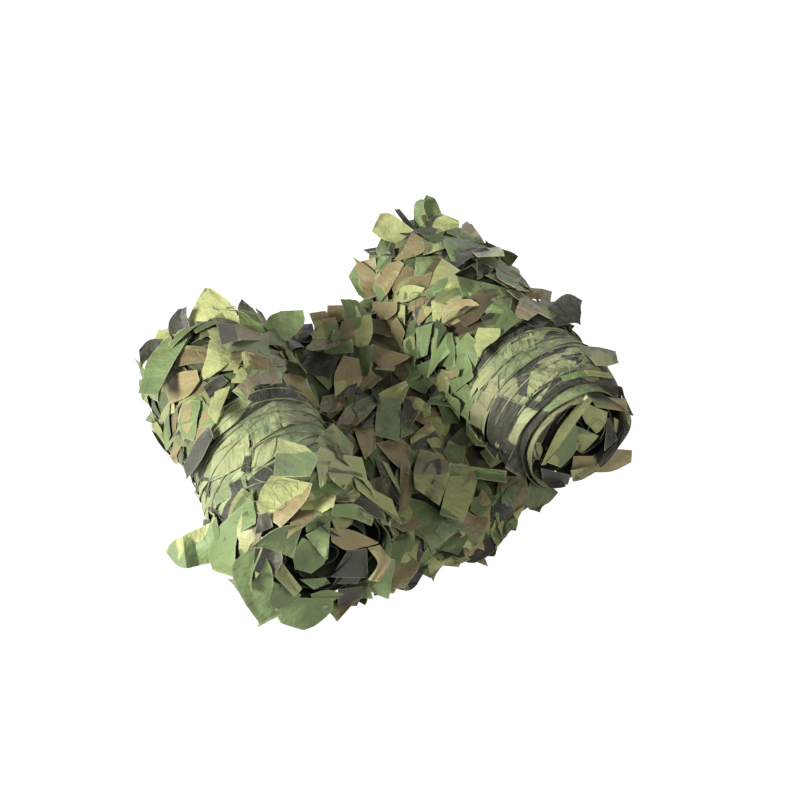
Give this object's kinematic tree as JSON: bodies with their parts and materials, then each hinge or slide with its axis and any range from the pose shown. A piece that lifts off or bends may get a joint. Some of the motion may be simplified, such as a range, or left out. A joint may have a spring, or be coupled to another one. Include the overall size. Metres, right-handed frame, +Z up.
{
  "type": "camouflage net",
  "caption": "Camouflage net of leaf-cut cloth on twine netting, rolled up from both ends, with the slack stretch lying between the rolls.",
  "frame": {"origin": "middle of the bounding box's underside, on the surface the net lies on", "axes": "+X across the rolls towards the one that lies further back, +Y along the rolls towards their far ends, +Z up"},
  "size_m": [0.7608, 0.7262, 0.2501],
  "materials": {
    "garnish_cloth": "thin woven cloth with a dull satin face, woodland camouflage print",
    "netting_twine": "dull green twisted cord"
  },
  "bodies": {
    "root": {"net": "garnish_cloth", "twine_left_1": "netting_twine", "twine_left_2": "netting_twine", "twine_left_3": "netting_twine", "twine_left_4": "netting_twine", "twine_left_5": "netting_twine", "twine_right_1": "netting_twine", "twine_right_2": "netting_twine", "twine_right_3": "netting_twine", "twine_right_4": "netting_twine", "twine_right_5": "netting_twine"}
  },
  "joints": []
}
